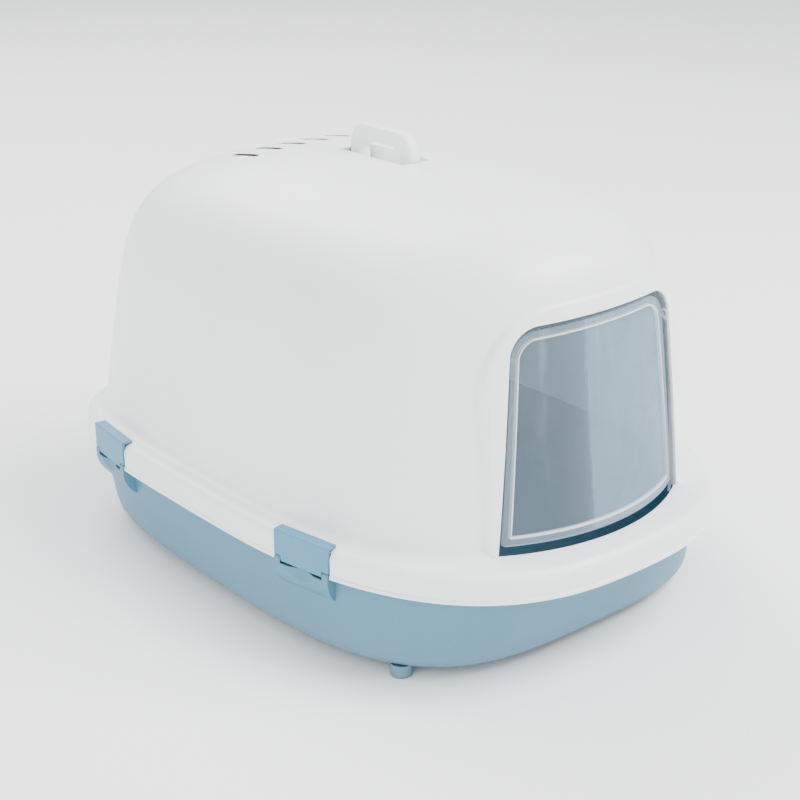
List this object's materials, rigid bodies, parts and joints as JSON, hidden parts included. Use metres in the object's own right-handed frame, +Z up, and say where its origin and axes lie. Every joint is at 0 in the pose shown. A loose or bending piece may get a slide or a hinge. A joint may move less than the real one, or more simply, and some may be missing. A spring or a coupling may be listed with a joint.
{
  "type": "hooded cat litter box",
  "caption": "Hooded cat litter box: tapered tub on short feet, domed lift-off hood with vents, carry handle, side clips and a see-through swinging flap.",
  "frame": {"origin": "centre of the bounding box in plan, on the floor under the feet", "axes": "+Z up, -Y towards the door, +X to the right seen from behind"},
  "size_m": [0.4009, 0.5582, 0.362],
  "materials": {
    "tray_plastic": "fine matt moulded polypropylene",
    "clip_plastic": "fine matt moulded polypropylene",
    "hood_plastic": "satin moulded polypropylene",
    "clear_plastic": "clear moulded plastic with a slight cool tint",
    "carbon_foam": "open-cell foam"
  },
  "bodies": {
    "tray_body": {"tray": "tray_plastic"},
    "hood_body": {"hood": "hood_plastic"},
    "flap_body": {"flap": "clear_plastic"},
    "handle_body": {"handle": "hood_plastic"},
    "clip_front_left_body": {"clip_front_left": "clip_plastic"},
    "clip_rear_left_body": {"clip_rear_left": "clip_plastic"},
    "clip_front_right_body": {"clip_front_right": "clip_plastic"},
    "clip_rear_right_body": {"clip_rear_right": "clip_plastic"},
    "filter_body": {"filter_holder": "hood_plastic", "carbon_filter": "carbon_foam"}
  },
  "joints": [
    {"name": "hood_lift", "type": "slide", "parent": "tray_body", "child": "hood_body", "axis": [0, 0, 1], "range_m": [0, 0.12]},
    {"name": "flap_swing", "type": "hinge", "parent": "hood_body", "child": "flap_body", "pos_m": [0, -0.21547, 0.243], "axis": [1, 0, 0], "range_deg": [-70, 70]},
    {"name": "handle_tilt", "type": "hinge", "parent": "hood_body", "child": "handle_body", "pos_m": [0, 0.0183, 0.332], "axis": [0, 1, 0], "range_deg": [-38, 38]},
    {"name": "filter_drop", "type": "hinge", "parent": "hood_body", "child": "filter_body", "pos_m": [0, 0.0975, 0.3025], "axis": [1, 0, 0], "range_deg": [-75, 0]},
    {"name": "front_right_clip_open", "type": "hinge", "parent": "tray_body", "child": "clip_front_right_body", "pos_m": [0.1901, -0.11183, 0.076], "axis": [0.17, 0.9854, 0], "range_deg": [0, 90]},
    {"name": "front_left_clip_open", "type": "hinge", "parent": "tray_body", "child": "clip_front_left_body", "pos_m": [-0.1901, -0.11183, 0.076], "axis": [0.17, -0.9854, 0], "range_deg": [0, 90]},
    {"name": "rear_right_clip_open", "type": "hinge", "parent": "tray_body", "child": "clip_rear_right_body", "pos_m": [0.19316, 0.15635, 0.076], "axis": [-0.1146, 0.9934, 0], "range_deg": [0, 90]},
    {"name": "rear_left_clip_open", "type": "hinge", "parent": "tray_body", "child": "clip_rear_left_body", "pos_m": [-0.19316, 0.15635, 0.076], "axis": [-0.1146, -0.9934, 0], "range_deg": [0, 90]}
  ]
}
